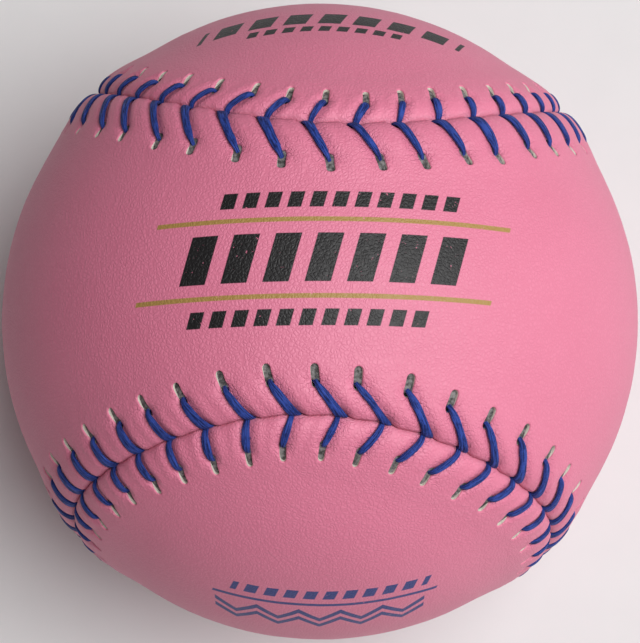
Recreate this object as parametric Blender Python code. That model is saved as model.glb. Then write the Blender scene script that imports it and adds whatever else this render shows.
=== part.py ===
"""A 12 inch slow-pitch softball: a moulded core, two stitched cover panels and their thread.

The origin is the centre of the ball. Panel A's narrow neck is centred on +Z, and the
ball rests on the neck of panel B, at -Z. Lengths are metres.
"""
import math

import bmesh
import bpy
import numpy as np
from mathutils import Vector
from mathutils.geometry import delaunay_2d_cdt

MM = 0.001

# The ball: 12 inches round, measured on the smooth part of the cover.
INCH = 25.4 * MM
BALL_RADIUS = 12 * INCH / (2 * math.pi)

# Layers, from the outside in.
FACE_THICKNESS = 0.9 * MM
BASE_THICKNESS = 1.1 * MM
LAYER_GAP = 0.3 * MM
CORE_GAP = 0.6 * MM
FACE_INNER_RADIUS = BALL_RADIUS - FACE_THICKNESS
BASE_OUTER_RADIUS = FACE_INNER_RADIUS - LAYER_GAP
BASE_INNER_RADIUS = BASE_OUTER_RADIUS - BASE_THICKNESS
CORE_RADIUS = BASE_INNER_RADIUS - CORE_GAP

# The seam, as a curve around the ball, before it is scaled onto the sphere.
SEAM_A = 0.712
SEAM_B = 0.288
SEAM_C = 2 * math.sqrt(SEAM_A * SEAM_B)
SEAM_SQUARING = 0.0355
SEAM_SHOULDER = 0.1027
SEAM_SAMPLES = 4400

# Stitches. Offsets across the seam are plus on panel A and minus on panel B. Crossings
# and slots are not evenly spaced: both sway once in each quarter of the seam.
PANEL_A = 1
PANEL_B = -1
STITCHES = 88
QUARTER = STITCHES / 4
STITCH_PHASE = 0.63
CROSSING_SWAY = 0.16
CROSSING_SWAY_START = -0.8
LAG_MEAN = {PANEL_A: 0.53, PANEL_B: 0.38}
LAG_SWING = {PANEL_A: 0.40, PANEL_B: 0.26}
LAG_START = -1.75
HOLE_OFFSET = {PANEL_A: 5.2 * MM, PANEL_B: 3.8 * MM}
HOLE_SWING = {PANEL_A: 0.6 * MM, PANEL_B: -0.5 * MM}
SLOT_WIDTH = 1.8 * MM
SLOT_BEFORE_HOLE = 0.8 * MM
SLOT_BEYOND_HOLE = 2.1 * MM
SEAM_GAP = 0.4 * MM
EDGE_NOTCH = 1.2 * MM
SWELL_HEIGHT = 0.6 * MM
SWELL_REACH = 8.5 * MM

# Thread: one strand, drawn up through the slots and down through the seam.
THREAD_RADIUS = 0.42 * MM
THREAD_SIDES = 6
THREAD_CLEARANCE = 0.5 * MM
THREAD_SPLIT = 0.9 * MM
THREAD_LOW_RADIUS = (CORE_RADIUS + FACE_INNER_RADIUS) / 2

# Mesh density. A ring of points round each panel's middle leaves one flat facet there,
# which the ball rests on.
FILL_SPACING = 8.5 * MM
REST_RING_RADIUS = 5.2 * MM
REST_RING_POINTS = 8
REST_RING_MARGIN = 0.6 * FILL_SPACING
FACE_FILL_OFFSET = 9.9 * MM
BASE_EDGE_OFFSET = {PANEL_A: 6.7 * MM, PANEL_B: 5.3 * MM}
BASE_FILL_OFFSET = 9.9 * MM
SMALL_TURN = 1e-4
WELD_DISTANCE = 1e-7


def remove_everything():
    for obj in list(bpy.data.objects):
        bpy.data.objects.remove(obj, do_unlink=True)


def make_material(name, colour, roughness):
    material = bpy.data.materials.new(name)
    material.use_nodes = True
    shader = material.node_tree.nodes["Principled BSDF"]
    shader.inputs["Base Color"].default_value = (*colour, 1.0)
    shader.inputs["Roughness"].default_value = roughness
    shader.inputs["Metallic"].default_value = 0.0
    material.diffuse_color = (*colour, 1.0)
    return material


def add_object(name, mesh_builder, material):
    """Turn a bmesh into a named object with one material."""
    bmesh.ops.recalc_face_normals(mesh_builder, faces=mesh_builder.faces)
    mesh = bpy.data.meshes.new(name)
    mesh_builder.to_mesh(mesh)
    mesh_builder.free()
    mesh.materials.append(material)
    obj = bpy.data.objects.new(name, mesh)
    bpy.context.collection.objects.link(obj)
    return obj


def sway(stitch, start):
    """A smooth swing between -1 and 1 that repeats with each quarter of the seam."""
    return math.sin(2 * math.pi * (stitch - start) / QUARTER)


def seam_curve(turn):
    """Unit points of the seam at angles turn, one row each."""
    x = SEAM_A * np.cos(turn) - SEAM_B * np.cos(3 * turn) + SEAM_SQUARING * np.cos(5 * turn)
    y = SEAM_A * np.sin(turn) + SEAM_B * np.sin(3 * turn) + SEAM_SQUARING * np.sin(5 * turn)
    z = -SEAM_C * np.cos(2 * turn) - SEAM_SHOULDER * np.cos(6 * turn)
    points = np.column_stack((x, y, z))
    return points / np.linalg.norm(points, axis=1)[:, None]


class Seam:
    """The seam measured by arc length, in stitches."""

    def __init__(self):
        self.turns = np.linspace(0.0, 2 * math.pi, SEAM_SAMPLES + 1)
        self.points = seam_curve(self.turns)
        steps = np.linalg.norm(np.diff(self.points, axis=0), axis=1)
        self.arc = np.concatenate(((0.0,), np.cumsum(steps)))
        self.step = self.arc[-1] * BALL_RADIUS / STITCHES
        along = np.roll(self.points[:-1], -1, axis=0) - np.roll(self.points[:-1], 1, axis=0)
        across = np.cross(self.points[:-1], along)
        self.across = across / np.linalg.norm(across, axis=1)[:, None]

    def direction(self, stitch, offset):
        """The unit direction at a stitch number and a distance across the seam."""
        swayed = stitch + STITCH_PHASE + CROSSING_SWAY * sway(stitch, CROSSING_SWAY_START)
        turn = np.interp(swayed / STITCHES % 1.0 * self.arc[-1], self.arc, self.turns)
        nearby = seam_curve(turn + np.array((-SMALL_TURN, 0.0, SMALL_TURN)))
        across = np.cross(nearby[1], nearby[2] - nearby[0])
        across /= np.linalg.norm(across)
        angle = offset / BALL_RADIUS
        return Vector(nearby[1] * math.cos(angle) + across * math.sin(angle))

    def offset_of(self, direction):
        """How far a direction lies from the seam, plus on panel A."""
        cosines = self.points[:-1] @ np.array(direction)
        nearest = int(np.argmax(cosines))
        distance = math.acos(min(1.0, cosines[nearest])) * BALL_RADIUS
        return math.copysign(distance, float(self.across[nearest] @ np.array(direction)))


def swell(offset):
    """How far the padded edge of a panel stands above the round of the ball."""
    reach = min(abs(offset) / SWELL_REACH, 1.0)
    return SWELL_HEIGHT * math.sin(math.pi * reach)


def fill_directions(seam, side, least_offset):
    """Evenly spread directions over the inside of one panel, round its resting facet."""
    count = round(4 * math.pi * BALL_RADIUS ** 2 / (FILL_SPACING ** 2 * math.sqrt(3) / 2))
    golden_angle = math.pi * (3 - math.sqrt(5))
    tilt = math.asin(REST_RING_RADIUS / BALL_RADIUS)
    clear_height = math.cos(tilt + REST_RING_MARGIN / BALL_RADIUS)
    directions = []
    for index in range(REST_RING_POINTS):
        turn = 2 * math.pi * index / REST_RING_POINTS
        flat = Vector((math.cos(turn), math.sin(turn), 0.0)) * math.sin(tilt)
        directions.append(flat + Vector((0.0, 0.0, side * math.cos(tilt))))
    for index in range(count):
        height = 1 - 2 * (index + 0.5) / count
        reach = math.sqrt(1 - height * height)
        turn = golden_angle * index
        direction = Vector((reach * math.cos(turn), reach * math.sin(turn), height))
        clear_of_facet = side * height < clear_height
        if clear_of_facet and side * seam.offset_of(direction) > least_offset:
            directions.append(direction)
    return directions


def shell(directions, loops, side, outer_radii, inner_radii):
    """A solid sheet on the sphere: the first loop is its outline, and the rest are holes."""
    flat = [Vector((d.x, d.y)) / (1 + side * d.z) for d in directions]
    edges = [pair for loop in loops for pair in zip(loop, loop[1:] + loop[:1])]
    _, _, faces, sources, _, _ = delaunay_2d_cdt(flat, edges, [], 1, WELD_DISTANCE)
    order = [source[0] for source in sources]
    hole_of = {index: number for number, loop in enumerate(loops[1:]) for index in loop}
    builder = bmesh.new()
    outer = [builder.verts.new(directions[i] * outer_radii[i]) for i in order]
    inner = [builder.verts.new(directions[i] * inner_radii[i]) for i in order]
    for face in faces:
        holes = {hole_of.get(order[i], -1) for i in face}
        if len(holes) == 1 and holes != {-1}:
            continue
        builder.faces.new([outer[i] for i in face])
        builder.faces.new([inner[i] for i in reversed(face)])
    partner = dict(zip(outer, inner))
    rims = [edge for edge in builder.edges if edge.is_boundary and edge.verts[0] in partner]
    for edge in rims:
        first, second = edge.verts
        builder.faces.new((first, second, partner[second], partner[first]))
    return builder


def hole_place(side, stitch):
    """The stitch number and the offset at which a thread comes up through its slot."""
    lag = LAG_MEAN[side] + LAG_SWING[side] * sway(stitch, LAG_START)
    swing = math.cos(2 * math.pi * (stitch - QUARTER) / STITCHES)
    return stitch - lag, HOLE_OFFSET[side] + HOLE_SWING[side] * swing


def build_face(name, seam, side, material):
    """The outer layer of one panel, with its notched edge and its row of slots."""
    offsets = []
    directions = []
    loops = [list(range(2 * STITCHES))]
    for stitch in range(STITCHES):
        for shift, offset in ((0.0, EDGE_NOTCH), (0.5, SEAM_GAP / 2)):
            directions.append(seam.direction(stitch + shift, side * offset))
            offsets.append(offset)
    half = SLOT_WIDTH / 2 / seam.step
    near, far = -SLOT_BEFORE_HOLE, SLOT_BEYOND_HOLE
    corners = ((-half, near), (half, near), (half, far), (-half, far))
    for stitch in range(STITCHES):
        hole, hole_offset = hole_place(side, stitch)
        loops.append(list(range(len(directions), len(directions) + len(corners))))
        for shift, step_out in corners:
            directions.append(seam.direction(hole + shift, side * (hole_offset + step_out)))
            offsets.append(hole_offset + step_out)
    fill = fill_directions(seam, side, FACE_FILL_OFFSET)
    directions += fill
    offsets += [SWELL_REACH] * len(fill)
    outer_radii = [BALL_RADIUS + swell(offset) for offset in offsets]
    inner_radii = [radius - FACE_THICKNESS for radius in outer_radii]
    return add_object(name, shell(directions, loops, side, outer_radii, inner_radii), material)


def build_base(name, seam, side, material):
    """The grey padding under one face, cut back to leave room for the thread."""
    edge_offset = BASE_EDGE_OFFSET[side]
    directions = [seam.direction(n, side * edge_offset) for n in range(STITCHES)]
    loops = [list(range(STITCHES))]
    directions += fill_directions(seam, side, BASE_FILL_OFFSET)
    outer_radii = [BASE_OUTER_RADIUS] * len(directions)
    outer_radii[:STITCHES] = [BASE_OUTER_RADIUS + swell(edge_offset)] * STITCHES
    inner_radii = [BASE_INNER_RADIUS] * len(directions)
    return add_object(name, shell(directions, loops, side, outer_radii, inner_radii), material)


def thread_path(seam, first_side):
    """The strand's points: up a slot, over to the seam, down, and under the other panel."""
    high = BALL_RADIUS + THREAD_CLEARANCE + THREAD_RADIUS
    path = []
    for stitch in range(STITCHES):
        side = first_side if stitch % 2 == 0 else -first_side
        hole, hole_offset = hole_place(side, stitch)
        slot = seam.direction(hole, side * hole_offset)
        crossing = seam.direction(stitch + side * THREAD_SPLIT / seam.step, 0.0)
        path.append(slot * THREAD_LOW_RADIUS)
        path.append(slot * (high + swell(hole_offset)))
        path.append(crossing * high)
        path.append(crossing * THREAD_LOW_RADIUS)
    return path


def build_thread(name, seam, first_side, material):
    """A round strand swept along its path, mitred at its bends, with both ends closed."""
    path = thread_path(seam, first_side)
    directions = [(after - before).normalized() for before, after in zip(path, path[1:])]
    sideways = path[0].cross(directions[0]).normalized()
    upward = directions[0].cross(sideways)
    turns = [2 * math.pi * k / THREAD_SIDES for k in range(THREAD_SIDES)]
    section = [THREAD_RADIUS * (math.cos(a) * sideways + math.sin(a) * upward) for a in turns]
    builder = bmesh.new()
    rings = []
    for point, along, ahead in zip(path, directions[:1] + directions, directions + directions[-1:]):
        mitre = along + ahead
        offsets = [way - along * way.dot(mitre) / along.dot(mitre) for way in section]
        rings.append([builder.verts.new(point + offset) for offset in offsets])
        section = [offset - ahead * offset.dot(ahead) for offset in offsets]
    for near, far in zip(rings, rings[1:]):
        for k in range(THREAD_SIDES):
            builder.faces.new((near[k], near[k - 1], far[k - 1], far[k]))
    builder.faces.new(rings[0])
    builder.faces.new(reversed(rings[-1]))
    return add_object(name, builder, material)


def build_core(name, material):
    builder = bmesh.new()
    bmesh.ops.create_icosphere(builder, subdivisions=4, radius=CORE_RADIUS)
    return add_object(name, builder, material)


def build_ball():
    remove_everything()
    seam = Seam()
    pink = make_material("pink_face", (0.83, 0.20, 0.36), 0.45)
    grey = make_material("grey_padding", (0.19, 0.19, 0.19), 0.9)
    white = make_material("white_core", (0.72, 0.70, 0.66), 0.7)
    blue = make_material("blue_thread", (0.03, 0.09, 0.42), 0.6)
    build_core("core", white)
    for letter, side in (("a", PANEL_A), ("b", PANEL_B)):
        build_base("panel_base_" + letter, seam, side, grey)
        build_face("panel_face_" + letter, seam, side, pink)
    build_thread("stitch_thread_1", seam, PANEL_A, blue)
    build_thread("stitch_thread_2", seam, PANEL_B, blue)


build_ball()
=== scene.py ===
"""The looks of a 12 inch slow-pitch softball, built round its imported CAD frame.

Each panel of the cover is one closed sheet, worked out in seam coordinates: a stitch
number along the seam and a distance across it, plus on panel A and minus on panel B.
Lengths are metres unless a name says otherwise.
"""
import math
from collections import namedtuple

import bpy
import numpy as np
from mathutils import Matrix, Vector, noise
from mathutils.geometry import delaunay_2d_cdt


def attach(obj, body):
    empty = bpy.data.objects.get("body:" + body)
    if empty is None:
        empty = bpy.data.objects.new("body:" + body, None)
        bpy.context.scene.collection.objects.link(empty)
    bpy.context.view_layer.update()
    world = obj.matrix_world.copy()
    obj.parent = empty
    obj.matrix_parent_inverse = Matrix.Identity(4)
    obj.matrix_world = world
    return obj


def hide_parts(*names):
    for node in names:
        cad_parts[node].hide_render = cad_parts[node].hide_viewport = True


MM = 0.001
SEED = 12

# The ball and its seam, as in the CAD.
BALL_RADIUS = 12 * 25.4 * MM / (2 * math.pi)
BASE_INNER_RADIUS = 46.2 * MM
SEAM_A = 0.712
SEAM_B = 0.288
SEAM_C = 2 * math.sqrt(SEAM_A * SEAM_B)
SEAM_SQUARING = 0.0355
SEAM_SHOULDER = 0.1027
SEAM_SAMPLES = 8800
TURN_STEP = 1e-4
BLOCK = 500
STITCHES = 88
STITCH_PHASE = 0.63

# Where the slots lie. Each is part of a stitch behind its crossing, more or less as the seam
# bends, and further from the seam on one half of the ball than on the other.
SIDE_A = 1
SIDE_B = -1
QUARTER = STITCHES / 4
CROSSING_SWAY = 0.16
CROSSING_SWAY_START = -0.8
LAG_MEAN = {SIDE_A: 0.53, SIDE_B: 0.38}
LAG_SWING = {SIDE_A: 0.40, SIDE_B: 0.26}
LAG_START = -1.75
ROW_SHIFT = {SIDE_A: 0.65 * MM, SIDE_B: -0.58 * MM}
THREAD_ENTRY = {SIDE_A: 5.35 * MM, SIDE_B: 3.58 * MM}
SLOT_NEAR = {SIDE_A: 4.65 * MM, SIDE_B: 2.95 * MM}
SLOT_FAR = {SIDE_A: 7.60 * MM, SIDE_B: 5.80 * MM}
SLOT_LEAN = 0.05
LEG_END = {SIDE_A: -0.75 * MM, SIDE_B: -1.20 * MM}
JITTER_ALONG = 0.04
JITTER_ACROSS = 0.14 * MM
JITTER_WIDTH = 0.09

# The sheet of one panel.
BAND_WIDTH = 9.6 * MM
BAND_COLUMNS = 14
BAND_ROWS = 22
ROW_SPREAD = 1.15
GRID_GAP = 0.22 * MM
SLOT_REACH = 1.5 * MM
SHEET_THICKNESS = 0.60 * MM
LEAST_THICKNESS = 0.1 * MM
EDGE_ROUND = 0.36 * MM
EDGE_GAP = 0.01 * MM
# Width of the painted shade that darkens and dulls the pink along the seam crease.
SEAM_SHADE_WIDTH = 0.34 * MM
SWELL_HEIGHT = 0.9 * MM
SWELL_PEAK = 2.8 * MM
SWELL_FADE = (6.0 * MM, 13.0 * MM)
ROW_RISE = 2.8 * MM
ROW_FALL = 6.2 * MM
SEAM_WAVE = 0.22 * MM
WAVE_RAMP = 0.16
WAVE_REACH = 3.5 * MM
FILL_SPACING = 2.0 * MM
FILL_GAP = 0.6 * FILL_SPACING

# Rings of points between the slotted edge and the inside, as (offset, points to a stitch).
RING_OFFSETS = ((10.4 * MM, 8), (11.7 * MM, 4))

# Loops round a slot: distance from its middle line, and depth below the surface.
SLOT_LOOPS = (
    (1.00 * MM, 0.0),
    (0.70 * MM, -0.04 * MM),
    (0.59 * MM, 0.00 * MM),
    (0.53 * MM, 0.08 * MM),
    (0.49 * MM, 0.26 * MM),
    (0.47 * MM, 0.58 * MM),
)
SLOT_ARC_POINTS = 7
SLOT_SIDE_POINTS = 5
CUT_LOOP = 4
CELL_TOLERANCE_MM = 1e-5
FILL_TOLERANCE = 1e-7
BASE_DEPTH = 0.64 * MM
BASE_PER_STITCH = 4
BASE_SPACING = 2.6 * MM
BASE_FILL_START = 11.2 * MM
BASE_ROWS = {
    SIDE_A: (4.9 * MM, 5.8 * MM, 6.8 * MM, 7.8 * MM, 9.4 * MM),
    SIDE_B: (3.5 * MM, 4.4 * MM, 5.4 * MM, 6.8 * MM, 9.0 * MM),
}

# How the leather gives way to the thread, as (depth, reach): under a leg, beside it, at its
# slot and at its crossing. It bulges a little further from the leg.
LEG_DENT = (0.36 * MM, 0.70 * MM)
LEG_SAG = (0.26 * MM, 1.60 * MM)
SLOT_DENT = (0.16 * MM, 1.1 * MM)
CROSSING_DENT = (0.34 * MM, 1.0 * MM)
BULGE_HEIGHT = 0.12 * MM
BULGE_PLACE = 1.7 * MM
BULGE_WIDTH = 0.7 * MM
BULGE_FADE = (4 * MM, 6 * MM)
STRAIN_REACH = 1.7 * MM
FAR_AWAY = 1.0

# The leather's own ups and downs, as (size as a share of the ball's radius, depth).
UNEVENNESS = ((0.11, 0.05 * MM), (0.035, 0.025 * MM))

# A leg of thread, from its slot over the panel and down into the seam. Each row is the
# share of the way from slot to crossing, steps past the crossing along and across, the
# height above the swell, and the width and thickness of the strand.
LEG_ROUTE = {
    SIDE_A: (
        (-0.10, 0.0, 0.0, -1.75, 0.75, 0.50),
        (-0.05, 0.0, 0.0, -1.05, 0.70, 0.52),
        (0.01, 0.0, 0.0, -0.45, 0.66, 0.54),
        (0.11, 0.0, 0.0, -0.14, 0.94, 0.54),
        (0.30, 0.0, 0.0, -0.07, 1.34, 0.52),
        (0.55, 0.0, 0.0, -0.06, 1.52, 0.50),
        (0.80, 0.0, 0.0, -0.08, 1.66, 0.50),
        (0.95, 0.0, 0.0, -0.24, 1.74, 0.48),
        (1.00, 0.0, -0.05, -0.74, 1.64, 0.46),
        (1.00, 0.05, -0.15, -1.25, 1.30, 0.46),
        (1.00, 0.10, -0.30, -1.90, 0.90, 0.50),
    ),
    SIDE_B: (
        (-0.10, 0.0, 0.0, -1.75, 0.70, 0.48),
        (-0.05, 0.0, 0.0, -1.05, 0.66, 0.50),
        (0.01, 0.0, 0.0, -0.45, 0.64, 0.52),
        (0.12, 0.0, 0.0, -0.15, 0.90, 0.52),
        (0.34, 0.0, 0.0, -0.08, 1.16, 0.50),
        (0.58, 0.0, 0.0, -0.08, 1.16, 0.48),
        (0.80, 0.0, 0.0, -0.14, 0.98, 0.48),
        (0.93, 0.0, 0.0, -0.46, 0.84, 0.46),
        (1.00, 0.0, 0.02, -0.92, 0.80, 0.46),
        (1.00, 0.0, -0.05, -1.35, 0.90, 0.48),
        (1.00, 0.0, -0.20, -1.95, 0.90, 0.50),
    ),
}
SEAM_TURN = (0.02, 0.45)
LEG_SAMPLES = 3
STRAND_POINTS = 30
STRAND_BUNDLES = 5
BUNDLE_DEPTH = 0.10
RIDGE_SWING = 2.0
RIDGE_SINK = 1.3
EDGE_RIPPLE = 0.04
STRAND_SQUARENESS = 0.8
STRAND_TWIST = 0.9
TWIST_LENGTH = 1.7 * MM
CHORD_SKIP = 8

# Loose fibres: how many to a leg, their size, and the ranges their ways are drawn from.
FUZZ_SEED = {SIDE_A: 59, SIDE_B: 45}
FUZZ_PER_LEG = 7
FUZZ_SPAN = (0.2, 0.66)
FUZZ_RADIUS = 0.028 * MM
FUZZ_SIDES = 3
FUZZ_TAPER = (1.0, 1.0, 0.85, 0.65, 0.35)
FUZZ_REACH_MM = (0.25, 0.65)
FUZZ_SIDEWAYS = (0.3, 1.0)
FUZZ_UP = (0.0, 0.5)
FUZZ_ALONG = (-1.2, 1.2)
FUZZ_CURL = (-0.35, 0.35)
FUZZ_DROOP = 0.25
FUZZ_ROOT_OUT = 0.40
FUZZ_ROOT_UP = (0.05, 0.35)

# Colours of the materials and inks.
PINK = (0.84, 0.240, 0.375, 1.0)
PINK_DEEP = (0.64, 0.130, 0.225, 1.0)
# Painted shade: a darker, duller pink laid along the seam crease between the panels.
PINK_SEAM_SHADE = (0.70, 0.250, 0.360, 1.0)
CREAM = (0.74, 0.70, 0.60, 1.0)
GREY = (0.26, 0.255, 0.25, 1.0)
GREY_DARK = (0.045, 0.044, 0.043, 1.0)
BLUE = (0.036, 0.082, 0.41, 1.0)
BLUE_DARK = (0.006, 0.014, 0.10, 1.0)
CORE_PALE = (0.76, 0.74, 0.68, 1.0)
CORE_DARK = (0.60, 0.58, 0.52, 1.0)
FLOOR_PALE = (0.88, 0.88, 0.88, 1.0)
FLOOR_DARK = (0.84, 0.84, 0.84, 1.0)
FILL_LIGHT = (1.0, 0.88, 0.86, 1.0)
INK_BLACK = (0.005, 0.004, 0.005, 1.0)
INK_GOLD = (0.43, 0.26, 0.07, 1.0)
INK_NAVY = (0.030, 0.045, 0.22, 1.0)
INK_EDGE = 0.06 * MM
PRINT_SLANT = 0.28

# Printed bands, in mm. A band without a spacing is a plain line.
Band = namedtuple("Band", "height half_height half_length spacing width", defaults=(0.0, 0.0))
BAR_BANDS = (
    Band(0.0, 3.3, 19.5, 5.6, 3.5),
    Band(8.0, 1.1, 16.5, 3.0, 1.9),
    Band(-8.0, 1.1, 16.5, 3.0, 1.9),
)
LINE_BANDS = (Band(5.2, 0.32, 24.0), Band(-5.2, 0.32, 24.0))
NAVY_BANDS = (Band(5.3, 1.1, 14.0, 2.8, 1.7), Band(2.5, 0.35, 16.0))
CHEVRON_REACH = 15.0 * MM
CHEVRON_PITCH = 3.0 * MM
CHEVRON_LINES = (-2.7 * MM, -5.1 * MM)
CHEVRON_HALF = 0.65 * MM
TOP_BANDS = (Band(0.0, 2.2, 19.0, 5.0, 3.3), Band(-4.2, 0.9, 11.0, 2.6, 1.6))

# The middle of each print, as seen from the ball's centre, and the way its lines run.
PRINT_A = (0.0, 0.012, 1.0)
PRINT_B_FRONT = (0.03, -0.93, 0.365)
PRINT_B_BACK = (0.0, 0.821, 0.569)
PRINT_RIGHT = (0.999, 0.04, 0.0)
PRINT_EDGE = (0.4 * BALL_RADIUS, 0.5 * BALL_RADIUS)

# Scales of the materials' textures, in cycles to the metre, and depths of their bumps. A
# strand's fibres are counted to the millimetre along it and to the whole turn around it.
GRAIN_SCALE = 1500.0
CELL_SCALE = 1900.0
WANDER_SCALE = 420.0
WANDER_REACH = 0.9 * MM
WRINKLE_SCALE = 1100.0
PATCH_SCALE = 60.0
BACKING_SCALE = 2000.0
SPECK_SCALE = 3800.0
CORE_SCALE = 1200.0
FLOOR_SCALE = 90.0
FIBRES_ALONG = 0.5
FIBRES_AROUND = 19.0
COVER_BUMP = 0.06 * MM
BACKING_BUMP = 0.12 * MM
THREAD_BUMP = 0.22 * MM
CORE_BUMP = 0.2 * MM

# The cover's material. Widths are in the textures' own units, and shades and heights are
# shares of the whole.
CREASE_WIDTH = 0.30
CREASE_SHADE = 0.20
CREASE_HEIGHT = 0.55
WRINKLE_WIDTH = 0.05
WRINKLE_HEIGHT = 1.3
PATCH_RANGE = (0.30, 0.75)
PATCH_SHADE = 0.10
WEAR_RANGE = (0.26, 0.36)
CUT_RANGE = (0.25, 0.75)
COVER_ROUGHNESS = 0.47
GRAIN_ROUGHNESS = 0.16
CUT_ROUGHNESS = 0.3
COVER_SPECULAR = 0.65

# The other materials.
BACKING_RANGE = (0.30, 0.70)
BACKING_ROUGHNESS = 0.9
SPECK_SHARE = 0.22
THREAD_RANGE = (0.46, 0.74)
THREAD_ROUGHNESS = 0.75
THREAD_GLOSS = 0.2
THREAD_SHEEN = 0.03
THREAD_SPECULAR = 0.25
CORE_ROUGHNESS = 0.7
FLOOR_ROUGHNESS = 0.85

# The camera looks down on panel A's neck, a little from the front, and slightly rolled.
CAMERA_DISTANCE = 7 * BALL_RADIUS
CAMERA_AZIMUTH = math.radians(-1.91)
CAMERA_ELEVATION = math.radians(80.42)
CAMERA_ROLL = math.radians(-4.16)
BALL_SHARE = 0.989
SENSOR = 36.0
CLIP_START = 0.01

# The studio: each light's direction, distance, size and power, and the floor.
KEY_LIGHT = ((0.37, -0.03, 0.93), 0.9, 0.75, 8.0)
SIDE_LIGHT = ((0.93, -0.02, 0.36), 0.9, 0.6, 1.3)
FILL_STRENGTH = 0.07
FLOOR_HALF = 1.5
FLOOR_GAP = 0.05 * MM


def smoothstep(low, high, value):
    share = np.clip((value - low) / (high - low), 0.0, 1.0)
    return share * share * (3 - 2 * share)


def bell(distance, width):
    return np.exp(-((distance / width) ** 2))


def dent(distance, depth, reach):
    return depth * bell(distance, reach)


def sway(stitch, start):
    """A smooth swing between -1 and 1 that repeats with each quarter of the seam."""
    return np.sin(2 * math.pi * (stitch - start) / QUARTER)


def seam_curve(turn):
    """Unit points of the seam at angles turn, one row each."""
    x = SEAM_A * np.cos(turn) - SEAM_B * np.cos(3 * turn) + SEAM_SQUARING * np.cos(5 * turn)
    y = SEAM_A * np.sin(turn) + SEAM_B * np.sin(3 * turn) + SEAM_SQUARING * np.sin(5 * turn)
    z = -SEAM_C * np.cos(2 * turn) - SEAM_SHOULDER * np.cos(6 * turn)
    points = np.column_stack((x, y, z))
    return points / np.linalg.norm(points, axis=1)[:, None]


class Seam:
    """The seam measured by arc length, in stitches."""

    def __init__(self):
        self.turns = np.linspace(0.0, 2 * math.pi, SEAM_SAMPLES + 1)
        self.points = seam_curve(self.turns)
        steps = np.linalg.norm(np.diff(self.points, axis=0), axis=1)
        self.arc = np.concatenate(((0.0,), np.cumsum(steps)))
        self.step = self.arc[-1] * BALL_RADIUS / STITCHES
        self.across = self.across_at(self.turns[:-1])

    def across_at(self, turn):
        """Unit directions across the seam, towards panel A."""
        ahead = seam_curve(turn + TURN_STEP) - seam_curve(turn - TURN_STEP)
        across = np.cross(seam_curve(turn), ahead)
        return across / np.linalg.norm(across, axis=1)[:, None]

    def frames(self, stitch, offset):
        """Unit directions outwards and along the seam at each spot."""
        stitch = np.asarray(stitch)
        swayed = stitch + STITCH_PHASE + CROSSING_SWAY * sway(stitch, CROSSING_SWAY_START)
        turn = np.interp(swayed / STITCHES % 1.0 * self.arc[-1], self.arc, self.turns)
        on_seam = seam_curve(turn)
        across = self.across_at(turn)
        angle = (np.asarray(offset) / BALL_RADIUS)[:, None]
        outward = on_seam * np.cos(angle) + across * np.sin(angle)
        return outward, np.cross(across, on_seam)

    def offset_of(self, directions):
        """How far each direction lies from the seam, plus on panel A."""
        offsets = np.empty(len(directions))
        for start in range(0, len(directions), BLOCK):
            block = directions[start:start + BLOCK]
            cosines = block @ self.points[:-1].T
            nearest = cosines.argmax(axis=1)
            distance = np.arccos(np.minimum(cosines.max(axis=1), 1.0)) * BALL_RADIUS
            sign = np.sign((block * self.across[nearest]).sum(axis=1))
            offsets[start:start + BLOCK] = sign * distance
        return offsets


def slot_lag(side, stitch):
    """How far behind its crossing a slot lies, in stitches."""
    return LAG_MEAN[side] + LAG_SWING[side] * sway(stitch, LAG_START)


def row_shift(side, stitch):
    """How far the row of slots strays from its mean distance to the seam."""
    return ROW_SHIFT[side] * np.cos(2 * math.pi * (stitch - QUARTER) / STITCHES)


class StitchRow:
    """The slots and threads of one side, with small hand-made differences."""

    def __init__(self, side, step):
        draw = np.random.default_rng(SEED + side)
        number = np.arange(STITCHES)
        self.jitter_along = draw.normal(0.0, JITTER_ALONG, STITCHES)
        self.jitter_across = draw.normal(0.0, JITTER_ACROSS, STITCHES)
        self.width = draw.normal(1.0, JITTER_WIDTH, STITCHES)
        self.slot_along = (self.jitter_along - slot_lag(side, number)) * step
        self.entry = THREAD_ENTRY[side] + row_shift(side, number) + self.jitter_across


def swell(offset):
    """Height of the padded edge beside the seam."""
    reach = np.abs(offset) / SWELL_PEAK
    return SWELL_HEIGHT * reach * np.exp(1 - reach) * (1 - smoothstep(*SWELL_FADE, np.abs(offset)))


def seam_wave(stitch):
    """How far the seam line itself strays towards panel A."""
    phase = np.mod(stitch, 1.0)
    ramp = 2 * phase - 1
    ends = smoothstep(0.0, WAVE_RAMP, phase) * smoothstep(0.0, WAVE_RAMP, 1 - phase)
    return SEAM_WAVE * ramp * ends


def leg_distances(stitch, offset, side, stitches, step):
    """Distance to the nearest thread leg, to its slot end and to its seam end."""
    to_leg = np.full(len(stitch), FAR_AWAY)
    to_slot = np.full(len(stitch), FAR_AWAY)
    to_crossing = np.full(len(stitch), FAR_AWAY)
    for neighbour in (-1, 0, 1, 2):
        number = np.floor(stitch).astype(int) + neighbour
        along = (stitch - number) * step - LEG_END[side]
        leg_along = stitches.slot_along[number % STITCHES] - LEG_END[side]
        leg_across = stitches.entry[number % STITCHES]
        share = (along * leg_along + offset * leg_across) / (leg_along ** 2 + leg_across ** 2)
        share = np.clip(share, 0.0, 1.0)
        gap = np.hypot(along - share * leg_along, offset - share * leg_across)
        to_leg = np.minimum(to_leg, gap)
        to_slot = np.minimum(to_slot, np.hypot(along - leg_along, offset - leg_across))
        to_crossing = np.minimum(to_crossing, np.hypot(along, offset))
    return to_leg, to_slot, to_crossing


def unevenness(points, size, depth):
    """Soft ups and downs, from noise at the given size."""
    return np.array([noise.noise(Vector(point / size)) for point in points]) * depth


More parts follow.
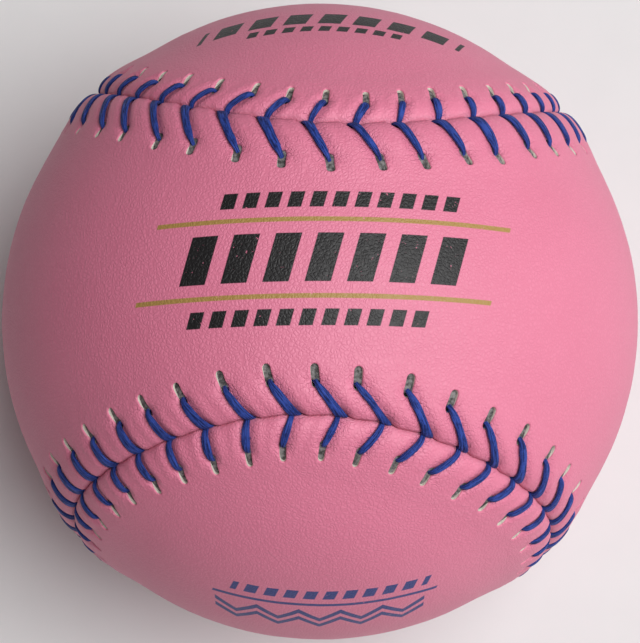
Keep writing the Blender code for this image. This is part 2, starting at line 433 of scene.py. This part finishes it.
def surface_height(seam, stitch, offset, side, stitches):
    """Height of the cover above the round of the ball, and how strained it is."""
    to_leg, to_slot, to_crossing = leg_distances(stitch, offset, side, stitches, seam.step)
    round_off = np.clip(EDGE_ROUND - offset, 0.0, EDGE_ROUND)
    fillet = EDGE_ROUND - np.sqrt(EDGE_ROUND ** 2 - round_off ** 2)
    height = swell(offset) - fillet
    height -= dent(to_leg, *LEG_DENT) + dent(to_leg, *LEG_SAG)
    height -= dent(to_slot, *SLOT_DENT) + dent(to_crossing, *CROSSING_DENT)
    bulge = BULGE_HEIGHT * bell(to_leg - BULGE_PLACE, BULGE_WIDTH)
    height += bulge * (1 - smoothstep(*BULGE_FADE, offset))
    return height, bell(to_leg, STRAIN_REACH)


def slot_outline(side, distance, step):
    """Points round a slot at a distance from its middle line, as (along, across)."""
    near = Vector((0.0, SLOT_NEAR[side]))
    far = Vector((-SLOT_LEAN * step, SLOT_FAR[side]))
    line = (far - near).normalized()
    sideways = Vector((line.y, -line.x))
    inset = SLOT_LOOPS[-1][0]
    near = near + line * inset
    far = far - line * inset
    points = []
    for centre, start in ((far, 0.0), (near, math.pi)):
        for k in range(SLOT_ARC_POINTS):
            angle = start + math.pi * k / (SLOT_ARC_POINTS - 1)
            points.append(centre + distance * (math.cos(angle) * sideways + math.sin(angle) * line))
        other = near if centre is far else far
        edge = points[-1] - centre
        for k in range(1, SLOT_SIDE_POINTS):
            points.append(centre.lerp(other, k / SLOT_SIDE_POINTS) + edge)
    return points, near, far


def cell_template(side, step):
    """One stitch's worth of a panel's edge: points, faces, borders and slot depths."""
    points = []
    depths = []
    edges = []
    for distance, depth in SLOT_LOOPS:
        outline, near, far = slot_outline(side, distance, step)
        start = len(points)
        points += outline
        depths += [depth] * len(outline)
        edges += [(start + k, start + (k + 1) % len(outline)) for k in range(len(outline))]
    slot_points = len(points)
    hole = set(range(slot_points - len(outline), slot_points))
    rows = [BAND_WIDTH * (row / (BAND_ROWS - 1)) ** ROW_SPREAD for row in range(BAND_ROWS)]
    line = far - near
    grid = {}
    for row, across in enumerate(rows):
        for column in range(BAND_COLUMNS + 1):
            spot = Vector(((column / BAND_COLUMNS - 0.5) * step, across))
            share = min(max((spot - near).dot(line) / line.length_squared, 0.0), 1.0)
            if (spot - near - share * line).length > SLOT_LOOPS[0][0] + GRID_GAP:
                grid[(row, column)] = len(points)
                points.append(spot)
                depths.append(0.0)
    for row in range(BAND_ROWS - 1):
        for column in (0, BAND_COLUMNS):
            edges.append((grid[(row, column)], grid[(row + 1, column)]))
    for column in range(BAND_COLUMNS):
        for row in (0, BAND_ROWS - 1):
            edges.append((grid[(row, column)], grid[(row, column + 1)]))
    scaled = [point / MM for point in points]
    _, _, faces, sources, _, _ = delaunay_2d_cdt(scaled, edges, [], 1, CELL_TOLERANCE_MM)
    order = [source[0] for source in sources]
    faces = [[order[i] for i in face] for face in faces]
    faces = [face for face in faces if not hole.issuperset(face)]
    left = [grid[(row, 0)] for row in range(BAND_ROWS)]
    right = [grid[(row, BAND_COLUMNS)] for row in range(BAND_ROWS)]
    last_row = [grid[(BAND_ROWS - 1, column)] for column in range(BAND_COLUMNS)]
    return {
        "points": np.array(points),
        "depths": np.array(depths),
        "faces": faces,
        "left": left,
        "right": right,
        "last_row": last_row,
        "slot_points": slot_points,
        "near": np.array(near),
        "far": np.array(far),
        "cut_from": CUT_LOOP * len(outline),
    }


def distance_to_line(points, near, far):
    """Distance from each point to the stretch between two others."""
    line = far - near
    share = np.clip(((points - near) @ line) / (line @ line), 0.0, 1.0)
    return np.linalg.norm(points - near - share[:, None] * line, axis=1)


def band(seam, side, stitches):
    """The slotted edge of a panel, all round, in seam coordinates."""
    cell = cell_template(side, seam.step)
    count = len(cell["points"])
    keep = np.ones(count, bool)
    keep[cell["right"]] = False
    new_index = np.cumsum(keep) - 1
    per_cell = int(keep.sum())
    near_slot = bell(distance_to_line(cell["points"], cell["near"], cell["far"]), SLOT_REACH)
    rows = cell["points"][:, 1]
    in_row = smoothstep(0.0, ROW_RISE, rows) * (1 - smoothstep(ROW_FALL, BAND_WIDTH, rows))
    stitch, offset, depth, cut, faces = [], [], [], [], []
    for number in range(STITCHES):
        along = cell["points"][:, 0] / seam.step + number
        shift = row_shift(side, along) * in_row
        along = along - slot_lag(side, along) + near_slot * stitches.jitter_along[number]
        across = cell["points"][:, 1] + shift + near_slot * stitches.jitter_across[number]
        stitch.append(along[keep])
        offset.append(across[keep])
        depth.append(cell["depths"][keep])
        is_cut = (np.arange(count) >= cell["cut_from"]) & (np.arange(count) < cell["slot_points"])
        cut.append(is_cut[keep])
        index = new_index + number * per_cell
        following = (number + 1) % STITCHES * per_cell
        index[cell["right"]] = new_index[cell["left"]] + following
        faces += [[int(index[i]) for i in face] for face in cell["faces"]]
    rim = [
        int(new_index[i]) + number * per_cell
        for number in range(STITCHES)
        for i in cell["last_row"]
    ]
    return {
        "stitch": np.concatenate(stitch),
        "offset": np.concatenate(offset),
        "depth": np.concatenate(depth),
        "cut": np.concatenate(cut).astype(float),
        "faces": faces,
        "rim": rim,
    }


def fill_directions(seam, side, spacing, least_offset):
    """Evenly spread directions over the inside of one panel."""
    count = round(4 * math.pi * BALL_RADIUS ** 2 / (spacing ** 2 * math.sqrt(3) / 2))
    index = np.arange(count)
    height = 1 - 2 * (index + 0.5) / count
    reach = np.sqrt(1 - height * height)
    turn = math.pi * (3 - math.sqrt(5)) * index
    directions = np.column_stack((reach * np.cos(turn), reach * np.sin(turn), height))
    return directions[side * seam.offset_of(directions) > least_offset]


def fill_faces(rim_directions, inner_directions, side):
    """Triangles between a closed rim and the points inside it, by their joint order."""
    directions = np.vstack((rim_directions, inner_directions))
    flat = directions[:, :2] / (1 + side * directions[:, 2:])
    count = len(rim_directions)
    edges = [(k, (k + 1) % count) for k in range(count)]
    points = [Vector(point) for point in flat]
    _, _, faces, sources, _, _ = delaunay_2d_cdt(points, edges, [], 1, FILL_TOLERANCE)
    return [[sources[i][0] for i in face] for face in faces]


def face_outwards(points, faces):
    """Turn every triangle so that it looks away from the centre of the ball."""
    faces = np.array(faces)
    first, second, third = (points[faces[:, k]] for k in range(3))
    normal = np.cross(second - first, third - first)
    inward = (normal * first).sum(axis=1) < 0
    faces[inward] = faces[inward][:, ::-1]
    return faces


def thick_sheet(outer, inner, faces):
    """Close a sheet: its outer faces, the same faces inside, and walls at every free edge."""
    count = len(outer)
    edges = np.concatenate((faces[:, (0, 1)], faces[:, (1, 2)], faces[:, (2, 0)]))
    ordered = np.sort(edges, axis=1)
    keys = ordered[:, 0] * count + ordered[:, 1]
    _, first, uses = np.unique(keys, return_index=True, return_counts=True)
    free = edges[first[uses == 1]]
    walls = np.column_stack((free[:, 1], free[:, 0], free[:, 0] + count, free[:, 1] + count))
    everything = faces.tolist() + (faces[:, ::-1] + count).tolist() + walls.tolist()
    return np.vstack((outer, inner)), everything


def new_object(name, points, faces, material, smooth=True):
    mesh = bpy.data.meshes.new(name)
    mesh.from_pydata([tuple(point) for point in points], [], faces)
    mesh.update()
    mesh.polygons.foreach_set("use_smooth", [smooth] * len(mesh.polygons))
    mesh.materials.append(material)
    piece = bpy.data.objects.new(name, mesh)
    bpy.context.collection.objects.link(piece)
    return piece


def add_point_attribute(piece, name, values):
    layer = piece.data.attributes.new(name, "FLOAT", "POINT")
    layer.data.foreach_set("value", np.asarray(values, dtype=np.float32))


def place(piece, node):
    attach(piece, "root")
    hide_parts(node)


def build_face(name, node, seam, side, stitches, material):
    """The pink outer sheet of one panel, with its slots and its pillowed edge."""
    edge = band(seam, side, stitches)
    height, strain = surface_height(seam, edge["stitch"], edge["offset"], side, stitches)
    wave = seam_wave(edge["stitch"]) * bell(edge["offset"], WAVE_REACH)
    signed = side * (edge["offset"] + EDGE_GAP) + wave
    outward, _ = seam.frames(edge["stitch"], signed)
    rings = []
    for offset, per_stitch in RING_OFFSETS:
        spots = np.arange(STITCHES * per_stitch) / per_stitch
        rings.append(seam.frames(spots, np.full(len(spots), side * offset))[0])
    least = RING_OFFSETS[-1][0] + FILL_GAP
    rings.append(fill_directions(seam, side, FILL_SPACING, least))
    inside = np.vstack(rings)
    inside_height = swell(seam.offset_of(inside))
    rim = np.array(edge["rim"])
    inner_faces = fill_faces(outward[rim], inside, side)
    joint = np.concatenate((rim, len(outward) + np.arange(len(inside))))
    inner_faces = joint[np.array(inner_faces)]
    directions = np.vstack((outward, inside))
    heights = np.concatenate((height, inside_height))
    for size, depth in UNEVENNESS:
        heights = heights + unevenness(directions, size, depth)
    floor = np.concatenate((swell(edge["offset"]), inside_height)) - SHEET_THICKNESS
    heights[:len(height)] -= edge["depth"]
    outer = directions * (BALL_RADIUS + heights)[:, None]
    inner = directions * (BALL_RADIUS + np.minimum(floor, heights - LEAST_THICKNESS))[:, None]
    faces = np.vstack((np.array(edge["faces"]), inner_faces))
    faces = face_outwards(directions, faces)
    points, faces = thick_sheet(outer, inner, faces)
    piece = new_object(name, points, faces, material)
    blank = np.zeros(len(inside))
    add_point_attribute(piece, "cut", np.concatenate((edge["cut"], blank, np.ones(len(inner)))))
    strain = np.concatenate((strain, blank, np.zeros(len(inner))))
    add_point_attribute(piece, "strain", strain)
    # Painted shade along the seam crease, strongest at the seam and fading away from it.
    seam_shade = bell(edge["offset"], SEAM_SHADE_WIDTH)
    add_point_attribute(piece, "seam_shade", np.concatenate((seam_shade, blank, np.ones(len(inner)))))
    place(piece, node)
    return piece


def build_base(name, node, seam, side, material):
    """The grey backing that shows through the slots."""
    spots = np.arange(STITCHES * BASE_PER_STITCH) / BASE_PER_STITCH
    layers = []
    offsets = []
    for offset in BASE_ROWS[side]:
        layers.append(seam.frames(spots, np.full(len(spots), side * offset))[0])
        offsets.append(np.full(len(spots), offset))
    inside = fill_directions(seam, side, BASE_SPACING, BASE_FILL_START)
    rim = layers[0]
    others = np.vstack(layers[1:] + [inside])
    directions = np.vstack((rim, others))
    faces = face_outwards(directions, fill_faces(rim, others, side))
    offset = np.concatenate(offsets + [np.abs(seam.offset_of(inside))])
    outer = directions * (BALL_RADIUS + swell(offset) - BASE_DEPTH)[:, None]
    inner = directions * BASE_INNER_RADIUS
    points, faces = thick_sheet(outer, inner, faces)
    piece = new_object(name, points, faces, material)
    place(piece, node)
    return piece


def catmull_rom(rows, samples):
    """Points on a smooth curve through every row."""
    padded = np.vstack((2 * rows[0] - rows[1], rows, 2 * rows[-1] - rows[-2]))
    points = []
    for k in range(len(rows) - 1):
        before, start, end, after = padded[k:k + 4]
        for t in np.arange(samples) / samples:
            points.append(0.5 * (
                2 * start
                + (end - before) * t
                + (2 * before - 5 * start + 4 * end - after) * t * t
                + (3 * start - before - 3 * end + after) * t ** 3
            ))
    points.append(rows[-1])
    return np.array(points)


def leg_route(seam, side, number, stitches):
    """One leg's points, and the directions of its width, its widths and its thicknesses."""
    rows = catmull_rom(np.array(LEG_ROUTE[side]), LEG_SAMPLES)
    share = rows[:, 0]
    along = stitches.slot_along[number] * (1 - share) + LEG_END[side] * share + rows[:, 1] * MM
    across = stitches.entry[number] * (1 - share) + rows[:, 2] * MM
    spot = number + along / seam.step
    outward, forward = seam.frames(spot, side * across)
    height = swell(np.maximum(across, 0.0)) + rows[:, 3] * MM
    points = outward * (BALL_RADIUS + height)[:, None]
    chord = points[-CHORD_SKIP] - points[CHORD_SKIP]
    width_way = np.cross(outward, chord)
    width_way /= np.linalg.norm(width_way, axis=1)[:, None]
    width_way *= np.sign((width_way * forward).sum(axis=1))[:, None]
    turned = smoothstep(*SEAM_TURN, rows[:, 0])[:, None]
    width_way = width_way * (1 - turned) + forward * turned
    width_way /= np.linalg.norm(width_way, axis=1)[:, None]
    width = rows[:, 4] * MM * stitches.width[number]
    return points, width_way, width, rows[:, 5] * MM


def strand_route(seam, first_side, stitches):
    """The whole strand's route, crossing to the other panel after each leg."""
    parts = []
    for number in range(STITCHES):
        side = first_side if number % 2 == 0 else -first_side
        parts.append(leg_route(seam, side, number, stitches[side]))
    return [np.concatenate([part[k] for part in parts]) for k in range(4)]


def strand_sections(points, sideways, width, thickness):
    """Rings of a flat strand whose bundles of fibre show as ridges."""
    ahead = np.vstack((points[1:] - points[:-1], points[-1:] - points[-2:-1]))
    ahead /= np.linalg.norm(ahead, axis=1)[:, None]
    tangent = ahead + np.vstack((ahead[:1], ahead[:-1]))
    tangent /= np.linalg.norm(tangent, axis=1)[:, None]
    upward = np.cross(sideways, tangent)
    upward /= np.linalg.norm(upward, axis=1)[:, None]
    angle = 2 * math.pi * np.arange(STRAND_POINTS) / STRAND_POINTS
    flat_x = np.sign(np.cos(angle)) * np.abs(np.cos(angle)) ** STRAND_SQUARENESS
    flat_y = np.sign(np.sin(angle)) * np.abs(np.sin(angle)) ** STRAND_SQUARENESS
    length = np.concatenate(((0.0,), np.cumsum(np.linalg.norm(np.diff(points, axis=0), axis=1))))
    turned = STRAND_TWIST * np.sin(length / TWIST_LENGTH)[:, None]
    phase = flat_x[None, :] * math.pi * STRAND_BUNDLES / 2 + turned
    ridge = 1 + BUNDLE_DEPTH * (np.abs(np.cos(phase)) * RIDGE_SWING - RIDGE_SINK)
    x = flat_x[None, :] * (1 + EDGE_RIPPLE * np.cos(phase * 2)) * width[:, None] / 2
    y = flat_y[None, :] * ridge * thickness[:, None] / 2
    rings = points[:, None] + x[..., None] * sideways[:, None] + y[..., None] * upward[:, None]
    return rings, length, upward, tangent


def tube_faces(rings, sides, start=0):
    """Quads between rings of points, with both ends closed."""
    faces = []
    for ring in range(rings - 1):
        near = start + ring * sides
        far = near + sides
        for k in range(sides):
            following = (k + 1) % sides
            faces.append((near + k, far + k, far + following, near + following))
    faces.append(tuple(start + k for k in range(sides)))
    last = start + (rings - 1) * sides
    faces.append(tuple(last + sides - 1 - k for k in range(sides)))
    return faces


def fuzz_fibres(draw, points, sideways, upward, tangent, width, thickness):
    """Short loose fibres along the edges of one strand."""
    fibres = []
    rings_per_leg = len(points) // STITCHES
    first, last = (int(rings_per_leg * share) for share in FUZZ_SPAN)
    share = np.linspace(0.0, 1.0, len(FUZZ_TAPER))[:, None]
    for _ in range(FUZZ_PER_LEG * STITCHES):
        leg = draw.integers(STITCHES)
        ring = leg * rings_per_leg + draw.integers(first, last)
        edge = draw.choice((-1.0, 1.0))
        reach = draw.uniform(*FUZZ_REACH_MM) * MM
        way = edge * sideways[ring] * draw.uniform(*FUZZ_SIDEWAYS)
        way = way + upward[ring] * draw.uniform(*FUZZ_UP)
        way = way + tangent[ring] * draw.uniform(*FUZZ_ALONG)
        way /= np.linalg.norm(way)
        curl = np.cross(way, upward[ring]) * draw.uniform(*FUZZ_CURL) - upward[ring] * FUZZ_DROOP
        root = points[ring] + sideways[ring] * edge * width[ring] * FUZZ_ROOT_OUT
        root = root + upward[ring] * thickness[ring] * draw.uniform(*FUZZ_ROOT_UP)
        fibres.append(root + way * reach * share + curl * reach * share ** 2)
    return fibres


def fibre_rings(path):
    """A thin tube round a short path, tapering to its tip."""
    ahead = np.gradient(path, axis=0)
    ahead /= np.linalg.norm(ahead, axis=1)[:, None]
    side = np.cross(ahead, path)
    side /= np.linalg.norm(side, axis=1)[:, None]
    up = np.cross(side, ahead)
    radius = FUZZ_RADIUS * np.array(FUZZ_TAPER)
    angles = 2 * math.pi * np.arange(FUZZ_SIDES) / FUZZ_SIDES
    ring = [np.cos(a) * side + np.sin(a) * up for a in angles]
    return np.stack([path + radius[:, None] * way for way in ring], axis=1)


def build_thread(name, node, seam, first_side, stitches, material):
    """One lacing strand: a flat bundle of fibres in and out of its slots, with some fuzz."""
    points, sideways, width, thickness = strand_route(seam, first_side, stitches)
    rings, length, upward, tangent = strand_sections(points, sideways, width, thickness)
    vertices = [rings.reshape(-1, 3)]
    faces = tube_faces(len(rings), STRAND_POINTS)
    draw = np.random.default_rng(FUZZ_SEED[first_side])
    start = len(vertices[0])
    for path in fuzz_fibres(draw, points, sideways, upward, tangent, width, thickness):
        fibre = fibre_rings(path)
        faces += tube_faces(len(fibre), FUZZ_SIDES, start)
        vertices.append(fibre.reshape(-1, 3))
        start += len(vertices[-1])
    piece = new_object(name, np.vstack(vertices), faces, material)
    around = np.tile(np.arange(STRAND_POINTS) / STRAND_POINTS, len(rings))
    along = np.repeat(length / MM, STRAND_POINTS)
    spare = np.zeros(start - len(along))
    add_point_attribute(piece, "around", np.concatenate((around, spare)))
    add_point_attribute(piece, "along", np.concatenate((along, spare)))
    place(piece, node)
    return piece


class Nodes:
    """A short way to write a material's nodes."""

    def __init__(self, name):
        self.material = bpy.data.materials.new(name)
        self.material.use_nodes = True
        self.tree = self.material.node_tree
        self.shader = self.tree.nodes["Principled BSDF"]

    def connect(self, source, target):
        if isinstance(source, bpy.types.NodeSocket):
            self.tree.links.new(source, target)
        else:
            target.default_value = source

    def node(self, kind, settings=None, **inputs):
        made = self.tree.nodes.new(kind)
        for key, value in (settings or {}).items():
            setattr(made, key, value)
        for key, value in inputs.items():
            self.connect(value, made.inputs[key.replace("_", " ")])
        return made

    def math(self, operation, first, second=0.0, third=0.0):
        made = self.tree.nodes.new("ShaderNodeMath")
        made.operation = operation
        for socket, value in zip(made.inputs, (first, second, third)):
            self.connect(value, socket)
        return made.outputs[0]

    def ramp(self, value, low, high):
        """0 at low, 1 at high, smooth between."""
        made = self.tree.nodes.new("ShaderNodeMapRange")
        made.interpolation_type = "SMOOTHSTEP"
        for key, source in (("Value", value), ("From Min", low), ("From Max", high)):
            self.connect(source, made.inputs[key])
        return made.outputs[0]

    def along(self, vector, direction):
        """How far a vector reaches in a direction."""
        made = self.tree.nodes.new("ShaderNodeVectorMath")
        made.operation = "DOT_PRODUCT"
        self.connect(vector, made.inputs[0])
        made.inputs[1].default_value = direction
        return made.outputs["Value"]

    def within(self, value, centre, reach):
        """1 where the value is nearer to the centre than its reach, 0 elsewhere."""
        distance = self.math("ABSOLUTE", self.math("SUBTRACT", value, centre))
        return self.math("SUBTRACT", 1.0, self.ramp(distance, reach - INK_EDGE, reach + INK_EDGE))

    def all_of(self, *masks):
        product = masks[0]
        for mask in masks[1:]:
            product = self.math("MULTIPLY", product, mask)
        return product

    def mix(self, share, first, second):
        made = self.tree.nodes.new("ShaderNodeMix")
        made.data_type = "RGBA"
        self.connect(share, made.inputs["Factor"])
        self.connect(first, made.inputs["A"])
        self.connect(second, made.inputs["B"])
        return made.outputs["Result"]

    def attribute(self, name):
        made = self.tree.nodes.new("ShaderNodeAttribute")
        made.attribute_name = name
        return made.outputs["Fac"]

    def bump(self, height, distance):
        made = self.node("ShaderNodeBump", None, Height=height, Distance=distance, Strength=1.0)
        self.connect(made.outputs["Normal"], self.shader.inputs["Normal"])

    def noise(self, vector, scale, detail):
        made = self.node("ShaderNodeTexNoise", None, Vector=vector, Scale=scale, Detail=detail)
        return made.outputs["Fac"]


def print_axes(make, position, centre):
    """Distances right and up from a print's centre, and whether it is on that side."""
    outward = Vector(centre).normalized()
    upward = outward.cross(Vector(PRINT_RIGHT)).normalized()
    right = upward.cross(outward)
    across = make.along(position, right)
    up = make.along(position, upward)
    facing = make.ramp(make.along(position, outward), *PRINT_EDGE)
    return across, up, facing


def printed_bands(make, across, up, bands):
    """Slanted bars and lines, as one mask."""
    slanted = make.math("MULTIPLY_ADD", up, -PRINT_SLANT, across)
    total = 0.0
    for band in bands:
        mask = make.all_of(
            make.within(up, band.height * MM, band.half_height * MM),
            make.within(slanted, 0.0, band.half_length * MM),
        )
        if band.spacing:
            phase = make.math("PINGPONG", slanted, band.spacing * MM / 2)
            mask = make.all_of(mask, make.within(phase, 0.0, band.width * MM / 2))
        total = make.math("MAXIMUM", total, mask)
    return total


def chevrons(make, across, up):
    """Zigzag lines, as one mask."""
    zigzag = make.math("SUBTRACT", up, make.math("PINGPONG", across, CHEVRON_PITCH))
    total = 0.0
    for height in CHEVRON_LINES:
        total = make.math("MAXIMUM", total, make.within(zigzag, height, CHEVRON_HALF))
    return make.all_of(total, make.within(across, 0.0, CHEVRON_REACH))


def printed_colour(make, position, colour, wear):
    """The plain printed patterns of both panels, over the colour of the leather."""
    across, up, facing = print_axes(make, position, PRINT_A)
    black = make.all_of(printed_bands(make, across, up, BAR_BANDS), facing, wear)
    gold = make.all_of(printed_bands(make, across, up, LINE_BANDS), facing, wear)
    across, up, facing = print_axes(make, position, PRINT_B_FRONT)
    bands = printed_bands(make, across, up, NAVY_BANDS)
    pattern = make.math("MAXIMUM", bands, chevrons(make, across, up))
    navy = make.all_of(pattern, facing, wear)
    across, up, facing = print_axes(make, position, PRINT_B_BACK)
    top = make.all_of(printed_bands(make, across, up, TOP_BANDS), facing, wear)
    colour = make.mix(make.math("MAXIMUM", black, top), colour, INK_BLACK)
    colour = make.mix(gold, colour, INK_GOLD)
    return make.mix(navy, colour, INK_NAVY)


def cover_material():
    """Pink coated leather: fine wavy grain, pull wrinkles by the threads, a pale cut edge."""
    make = Nodes("pink_cover")
    place_at = make.node("ShaderNodeTexCoord").outputs["Object"]
    wander = make.node("ShaderNodeTexNoise", None, Vector=place_at, Scale=WANDER_SCALE, Detail=3.0)
    pull = make.node("ShaderNodeVectorMath", {"operation": "MULTIPLY_ADD"})
    make.connect(wander.outputs["Color"], pull.inputs[0])
    pull.inputs[1].default_value = [WANDER_REACH] * 3
    make.connect(place_at, pull.inputs[2])
    cells = make.node(
        "ShaderNodeTexVoronoi",
        {"feature": "DISTANCE_TO_EDGE"},
        Vector=pull.outputs[0],
        Scale=CELL_SCALE,
    ).outputs["Distance"]
    crease = make.ramp(cells, 0.0, CREASE_WIDTH)
    grain = make.noise(place_at, GRAIN_SCALE, 4.0)
    waves = make.noise(pull.outputs[0], WRINKLE_SCALE, 1.0)
    waves = make.math("ABSOLUTE", make.math("SUBTRACT", waves, 0.5))
    wrinkle = make.all_of(make.ramp(waves, 0.0, WRINKLE_WIDTH), make.attribute("strain"))
    patch = make.ramp(make.noise(place_at, PATCH_SCALE, 3.0), *PATCH_RANGE)
    shade = make.math("MULTIPLY", make.math("SUBTRACT", 1.0, crease), CREASE_SHADE)
    shade = make.math("MULTIPLY_ADD", patch, PATCH_SHADE, shade)
    colour = make.mix(shade, PINK, PINK_DEEP)
    # Painted shade: the pink turns darker and duller along the seam crease.
    colour = make.mix(make.attribute("seam_shade"), colour, PINK_SEAM_SHADE)
    wear = make.ramp(make.math("MULTIPLY", grain, make.math("ADD", crease, 1.0)), *WEAR_RANGE)
    colour = printed_colour(make, place_at, colour, wear)
    cut = make.ramp(make.attribute("cut"), *CUT_RANGE)
    make.connect(make.mix(cut, colour, CREAM), make.shader.inputs["Base Color"])
    rough = make.math("MULTIPLY_ADD", grain, GRAIN_ROUGHNESS, COVER_ROUGHNESS)
    rough = make.math("MULTIPLY_ADD", cut, CUT_ROUGHNESS, rough)
    make.connect(rough, make.shader.inputs["Roughness"])
    height = make.math("MULTIPLY_ADD", crease, CREASE_HEIGHT, grain)
    height = make.math("MULTIPLY_ADD", wrinkle, WRINKLE_HEIGHT, height)
    make.bump(height, COVER_BUMP)
    make.shader.inputs["Specular IOR Level"].default_value = COVER_SPECULAR
    return make.material


def base_material():
    """Grey backing cloth."""
    make = Nodes("grey_backing")
    place_at = make.node("ShaderNodeTexCoord").outputs["Object"]
    fibre = make.noise(place_at, BACKING_SCALE, 4.0)
    share = make.ramp(fibre, *BACKING_RANGE)
    make.connect(make.mix(share, GREY_DARK, GREY), make.shader.inputs["Base Color"])
    make.bump(fibre, BACKING_BUMP)
    make.shader.inputs["Roughness"].default_value = BACKING_ROUGHNESS
    return make.material


def thread_material():
    """Waxed blue strand: fine fibres along its length."""
    make = Nodes("blue_thread")
    strand = make.node(
        "ShaderNodeCombineXYZ",
        None,
        X=make.math("MULTIPLY", make.attribute("along"), FIBRES_ALONG),
        Y=make.math("MULTIPLY", make.attribute("around"), FIBRES_AROUND),
    )
    fibre = make.noise(strand.outputs[0], 1.0, 5.0)
    place_at = make.node("ShaderNodeTexCoord").outputs["Object"]
    speck = make.noise(place_at, SPECK_SCALE, 3.0)
    blend = make.math("MULTIPLY_ADD", speck, SPECK_SHARE, fibre)
    share = make.ramp(blend, *THREAD_RANGE)
    make.connect(make.mix(share, BLUE_DARK, BLUE), make.shader.inputs["Base Color"])
    rough = make.math("MULTIPLY_ADD", share, -THREAD_GLOSS, THREAD_ROUGHNESS)
    make.connect(rough, make.shader.inputs["Roughness"])
    make.bump(blend, THREAD_BUMP)
    make.shader.inputs["Sheen Weight"].default_value = THREAD_SHEEN
    make.shader.inputs["Specular IOR Level"].default_value = THREAD_SPECULAR
    return make.material


def core_material():
    """Moulded polyurethane foam."""
    make = Nodes("white_core")
    place_at = make.node("ShaderNodeTexCoord").outputs["Object"]
    pores = make.noise(place_at, CORE_SCALE, 4.0)
    make.connect(make.mix(pores, CORE_DARK, CORE_PALE), make.shader.inputs["Base Color"])
    make.bump(pores, CORE_BUMP)
    make.shader.inputs["Roughness"].default_value = CORE_ROUGHNESS
    return make.material


def add_camera():
    """A camera whose picture the ball just fills."""
    silhouette = math.sqrt((CAMERA_DISTANCE / BALL_RADIUS) ** 2 - 1)
    data = bpy.data.cameras.new("camera")
    data.sensor_width = SENSOR
    data.lens = SENSOR * BALL_SHARE / 2 * silhouette
    data.clip_start = CLIP_START
    camera = bpy.data.objects.new("camera", data)
    bpy.context.collection.objects.link(camera)
    flat = math.cos(CAMERA_ELEVATION)
    back = Vector((
        math.sin(CAMERA_AZIMUTH) * flat,
        -math.cos(CAMERA_AZIMUTH) * flat,
        math.sin(CAMERA_ELEVATION),
    ))
    upright = back.to_track_quat("Z", "Y").to_matrix().to_4x4()
    camera.matrix_world = (
        Matrix.Translation(back * CAMERA_DISTANCE) @ upright @ Matrix.Rotation(-CAMERA_ROLL, 4, "Z")
    )
    bpy.context.scene.camera = camera


def add_area_light(name, direction, distance, size, power):
    data = bpy.data.lights.new(name, "AREA")
    data.shape = "DISK"
    data.size = size
    data.energy = power
    lamp = bpy.data.objects.new(name, data)
    bpy.context.collection.objects.link(lamp)
    towards = Vector(direction).normalized()
    lamp.matrix_world = (
        Matrix.Translation(towards * distance) @ towards.to_track_quat("Z", "Y").to_matrix().to_4x4()
    )


def add_studio():
    """A pale floor, a big soft light above, a smaller one to the right, and an even fill."""
    make = Nodes("pale_floor")
    place_at = make.node("ShaderNodeTexCoord").outputs["Object"]
    speck = make.noise(place_at, FLOOR_SCALE, 3.0)
    make.connect(make.mix(speck, FLOOR_DARK, FLOOR_PALE), make.shader.inputs["Base Color"])
    make.shader.inputs["Roughness"].default_value = FLOOR_ROUGHNESS
    low = -BALL_RADIUS - FLOOR_GAP
    corners = [(x * FLOOR_HALF, y * FLOOR_HALF, low) for x, y in ((-1, -1), (1, -1), (1, 1), (-1, 1))]
    floor = new_object("floor", corners, [(0, 1, 2, 3)], make.material, smooth=False)
    add_area_light("key", *KEY_LIGHT)
    add_area_light("side", *SIDE_LIGHT)
    world = bpy.data.worlds.new("studio")
    world.use_nodes = True
    background = world.node_tree.nodes["Background"]
    background.inputs["Color"].default_value = FILL_LIGHT
    background.inputs["Strength"].default_value = FILL_STRENGTH
    bpy.context.scene.world = world
    bpy.context.scene.view_settings.view_transform = "Standard"


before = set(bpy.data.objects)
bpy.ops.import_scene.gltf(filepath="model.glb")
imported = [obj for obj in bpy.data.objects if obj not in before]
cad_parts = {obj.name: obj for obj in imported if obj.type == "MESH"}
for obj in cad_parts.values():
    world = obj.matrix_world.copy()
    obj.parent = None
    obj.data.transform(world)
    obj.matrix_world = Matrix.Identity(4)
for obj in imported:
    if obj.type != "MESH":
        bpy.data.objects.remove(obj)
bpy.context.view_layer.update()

add_camera()
add_studio()

seam = Seam()
stitches = {side: StitchRow(side, seam.step) for side in (SIDE_A, SIDE_B)}
cover = cover_material()
backing = base_material()
blue = thread_material()
for letter, side in (("a", SIDE_A), ("b", SIDE_B)):
    build_face("cover_face_" + letter, "panel_face_" + letter, seam, side, stitches[side], cover)
    build_base("backing_" + letter, "panel_base_" + letter, seam, side, backing)
build_thread("lacing_1", "stitch_thread_1", seam, SIDE_A, stitches, blue)
build_thread("lacing_2", "stitch_thread_2", seam, SIDE_B, stitches, blue)
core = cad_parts["core"]
core.data.materials.clear()
core.data.materials.append(core_material())
